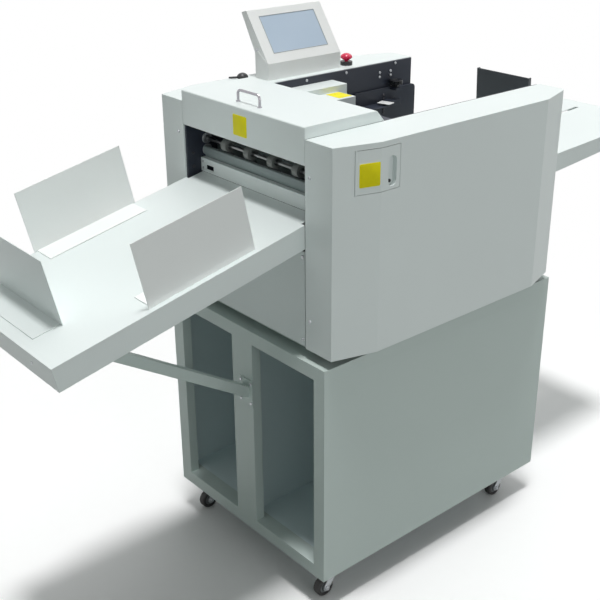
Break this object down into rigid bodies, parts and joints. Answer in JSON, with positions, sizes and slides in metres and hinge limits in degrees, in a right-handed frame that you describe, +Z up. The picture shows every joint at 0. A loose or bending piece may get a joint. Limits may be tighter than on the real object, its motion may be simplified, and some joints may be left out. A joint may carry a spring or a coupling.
{
  "type": "creasing machine",
  "caption": "Automatic sheet creasing machine on a two-bay cabinet with castors: lifting feed table, suction feed, creasing beam under a hinged lid, sloping delivery tray and a touch console.",
  "frame": {"origin": "on the floor under the middle of the machine's length and of its frame's width", "axes": "+X against the paper's travel, from the delivery tray to the feed table; the operator stands at -Y; +Z up"},
  "size_m": [1.8847, 0.673, 1.3105],
  "materials": {
    "cabinet_paint": "light grey-green powder coat",
    "cover_white": "off-white powder coat, satin",
    "frame_black": "black powder coat, satin",
    "bright_steel": "ground",
    "zinc_steel": "zinc plated",
    "handle_chrome": "polished",
    "black_plastic": "fine grain",
    "console_plastic": "fine grain",
    "screen_glass": "glossy, unlit",
    "stop_red": "glossy",
    "roller_rubber": "light grey, fine",
    "wheel_rubber": "dark grey",
    "bush_brass": "plain bearing",
    "guide_brown": "dark brown-grey coat"
  },
  "bodies": {
    "machine": {"cabinet_base": "cabinet_paint", "cabinet_top": "cabinet_paint", "cabinet_side_near": "cabinet_paint", "cabinet_side_far": "cabinet_paint", "cabinet_back": "cabinet_paint", "cabinet_divider": "cabinet_paint", "castor_plates": "zinc_steel", "head_base": "cabinet_paint", "frame_plate_near": "frame_black", "frame_plate_far": "frame_black", "shaft_bushes": "bush_brass", "side_cover_near": "cover_white", "side_cover_far": "cover_white", "front_panel": "cover_white", "rear_panel": "cover_white", "step_box": "cover_white", "delivery_tray": "cover_white", "tray_strut": "cabinet_paint", "paper_guides": "guide_brown", "crease_bed": "bright_steel", "belt_drive": "black_plastic", "suction_box": "frame_black", "blower_housing": "cover_white", "console_housing": "console_plastic", "console_screen": "screen_glass", "stop_button_base": "black_plastic", "power_inlet": "black_plastic", "lift_drive": "zinc_steel", "hinge_bar": "zinc_steel"},
    "lid": {"top_cover": "cover_white", "cover_handle": "handle_chrome"},
    "hatch": {"service_hatch": "cover_white"},
    "stop_mushroom": {"stop_button": "stop_red"},
    "air_control": {"air_knob": "black_plastic"},
    "tray_guide_far": {"delivery_guide_far": "cover_white"},
    "tray_guide_near": {"delivery_guide_near": "cover_white"},
    "tray_end_stop": {"end_stop": "cover_white"},
    "feed_carriage": {"feed_table": "cover_white", "feed_lift_plate": "cover_white"},
    "screw": {"lift_screw": "bright_steel"},
    "pile_tail_stop": {"tail_stop": "frame_black"},
    "pile_guide_far": {"feed_guide_far": "frame_black"},
    "pile_guide_near": {"feed_guide_near": "frame_black"},
    "clamp_knob_far": {"guide_knob_far": "black_plastic"},
    "clamp_knob_near": {"guide_knob_near": "black_plastic"},
    "exit_upper": {"exit_shaft_upper": "roller_rubber"},
    "exit_lower": {"exit_shaft_lower": "roller_rubber"},
    "infeed_upper": {"infeed_shaft_upper": "roller_rubber"},
    "infeed_lower": {"infeed_shaft_lower": "roller_rubber"},
    "beam": {"crease_beam": "bright_steel"},
    "cams": {"cam_shaft": "bright_steel"},
    "rocker": {"rocker_switch": "black_plastic"},
    "swivel_front_near": {"castor_fork_front_near": "zinc_steel"},
    "wheel_front_near": {"castor_wheel_front_near": "wheel_rubber"},
    "swivel_front_far": {"castor_fork_front_far": "zinc_steel"},
    "wheel_front_far": {"castor_wheel_front_far": "wheel_rubber"},
    "swivel_rear_near": {"castor_fork_rear_near": "zinc_steel"},
    "wheel_rear_near": {"castor_wheel_rear_near": "wheel_rubber"},
    "swivel_rear_far": {"castor_fork_rear_far": "zinc_steel"},
    "wheel_rear_far": {"castor_wheel_rear_far": "wheel_rubber"}
  },
  "joints": [
    {"name": "lid_hinge", "type": "hinge", "parent": "machine", "child": "lid", "pos_m": [-0.1185, 0, 1.149], "axis": [0, 1, 0], "range_deg": [0, 75]},
    {"name": "hatch_hinge", "type": "hinge", "parent": "machine", "child": "hatch", "pos_m": [-0.2939, -0.31297, 1.092], "axis": [0, 0, -1], "range_deg": [0, 100]},
    {"name": "stop_press", "type": "slide", "parent": "machine", "child": "stop_mushroom", "axis": [0, 0, -1], "range_m": [0, 0.004]},
    {"name": "air_turn", "type": "hinge", "parent": "machine", "child": "air_control", "pos_m": [-0.0985, 0.311, 1.152], "axis": [0, 0, 1], "range_deg": [0, 270]},
    {"name": "tray_guide_far_slide", "type": "slide", "parent": "machine", "child": "tray_guide_far", "axis": [0, -1, 0], "range_m": [0, 0.12]},
    {"name": "tray_guide_near_slide", "type": "slide", "parent": "machine", "child": "tray_guide_near", "axis": [0, 1, 0], "range_m": [-0.012, 0.12]},
    {"name": "tray_end_stop_slide", "type": "slide", "parent": "machine", "child": "tray_end_stop", "axis": [0.9779, 0, 0.2089], "range_m": [-0.02, 0.09]},
    {"name": "table_lift", "type": "slide", "parent": "machine", "child": "feed_carriage", "axis": [0, 0, 1], "range_m": [0, 0.085]},
    {"name": "lift_screw_turn", "type": "hinge", "parent": "machine", "child": "screw", "pos_m": [0.2635, 0, 0.83], "axis": [0, 0, -1], "range_deg": [-20, 6200]},
    {"name": "tail_stop_slide", "type": "slide", "parent": "feed_carriage", "child": "pile_tail_stop", "axis": [0.9988, 0, 0.0494], "range_m": [-0.08, 0.32]},
    {"name": "pile_guide_far_slide", "type": "slide", "parent": "machine", "child": "pile_guide_far", "axis": [0, -1, 0], "range_m": [0, 0.08]},
    {"name": "pile_guide_near_slide", "type": "slide", "parent": "machine", "child": "pile_guide_near", "axis": [0, 1, 0], "range_m": [0, 0.08]},
    {"name": "clamp_knob_far_turn", "type": "hinge", "parent": "pile_guide_far", "child": "clamp_knob_far", "pos_m": [0.3275, 0.193, 1.09], "axis": [0, 0, 1], "range_deg": [0, 270]},
    {"name": "clamp_knob_near_turn", "type": "hinge", "parent": "pile_guide_near", "child": "clamp_knob_near", "pos_m": [0.3275, -0.193, 1.09], "axis": [0, 0, 1], "range_deg": [0, 270]},
    {"name": "infeed_lower_turn", "type": "hinge", "parent": "machine", "child": "infeed_lower", "pos_m": [-0.1415, 0, 1.02285], "axis": [0, -1, 0], "continuous": true},
    {"name": "infeed_upper_turn", "type": "hinge", "parent": "machine", "child": "infeed_upper", "pos_m": [-0.1415, 0, 1.05315], "axis": [0, -1, 0], "continuous": true},
    {"name": "exit_lower_turn", "type": "hinge", "parent": "machine", "child": "exit_lower", "pos_m": [-0.2845, 0, 1.02585], "axis": [0, -1, 0], "continuous": true},
    {"name": "exit_upper_turn", "type": "hinge", "parent": "machine", "child": "exit_upper", "pos_m": [-0.2845, 0, 1.05315], "axis": [0, -1, 0], "continuous": true},
    {"name": "beam_stroke", "type": "slide", "parent": "machine", "child": "beam", "axis": [0, 0, -1], "range_m": [0, 0.004]},
    {"name": "cam_turn", "type": "hinge", "parent": "machine", "child": "cams", "pos_m": [-0.2065, 0, 1.1073], "axis": [0, 1, 0], "range_deg": [-1, 181]},
    {"name": "rocker_tip", "type": "hinge", "parent": "machine", "child": "rocker", "pos_m": [0.401, 0.12, 0.76], "axis": [0, -1, 0], "range_deg": [0, 16]},
    {"name": "swivel_front_near_turn", "type": "hinge", "parent": "machine", "child": "swivel_front_near", "pos_m": [-0.2855, -0.24, 0.076], "axis": [0, 0, 1], "continuous": true},
    {"name": "wheel_front_near_roll", "type": "hinge", "parent": "swivel_front_near", "child": "wheel_front_near", "pos_m": [-0.3125, -0.24, 0.025], "axis": [0, 1, 0], "continuous": true},
    {"name": "swivel_front_far_turn", "type": "hinge", "parent": "machine", "child": "swivel_front_far", "pos_m": [-0.2855, 0.24, 0.076], "axis": [0, 0, 1], "continuous": true},
    {"name": "wheel_front_far_roll", "type": "hinge", "parent": "swivel_front_far", "child": "wheel_front_far", "pos_m": [-0.3125, 0.24, 0.025], "axis": [0, 1, 0], "continuous": true},
    {"name": "swivel_rear_near_turn", "type": "hinge", "parent": "machine", "child": "swivel_rear_near", "pos_m": [0.3525, -0.24, 0.076], "axis": [0, 0, 1], "continuous": true},
    {"name": "wheel_rear_near_roll", "type": "hinge", "parent": "swivel_rear_near", "child": "wheel_rear_near", "pos_m": [0.3255, -0.24, 0.025], "axis": [0, 1, 0], "continuous": true},
    {"name": "swivel_rear_far_turn", "type": "hinge", "parent": "machine", "child": "swivel_rear_far", "pos_m": [0.3525, 0.24, 0.076], "axis": [0, 0, 1], "continuous": true},
    {"name": "wheel_rear_far_roll", "type": "hinge", "parent": "swivel_rear_far", "child": "wheel_rear_far", "pos_m": [0.3255, 0.24, 0.025], "axis": [0, 1, 0], "continuous": true}
  ],
  "couplings": [
    {"joint": "lift_screw_turn", "follows": "table_lift", "rad_per_m": 1256.6},
    {"joint": "infeed_upper_turn", "follows": "infeed_lower_turn", "ratio": -1},
    {"joint": "exit_lower_turn", "follows": "infeed_lower_turn", "ratio": 1},
    {"joint": "exit_upper_turn", "follows": "infeed_lower_turn", "ratio": -0.8},
    {"joint": "cam_turn", "follows": "beam_stroke", "rad_per_m": 785.4}
  ]
}
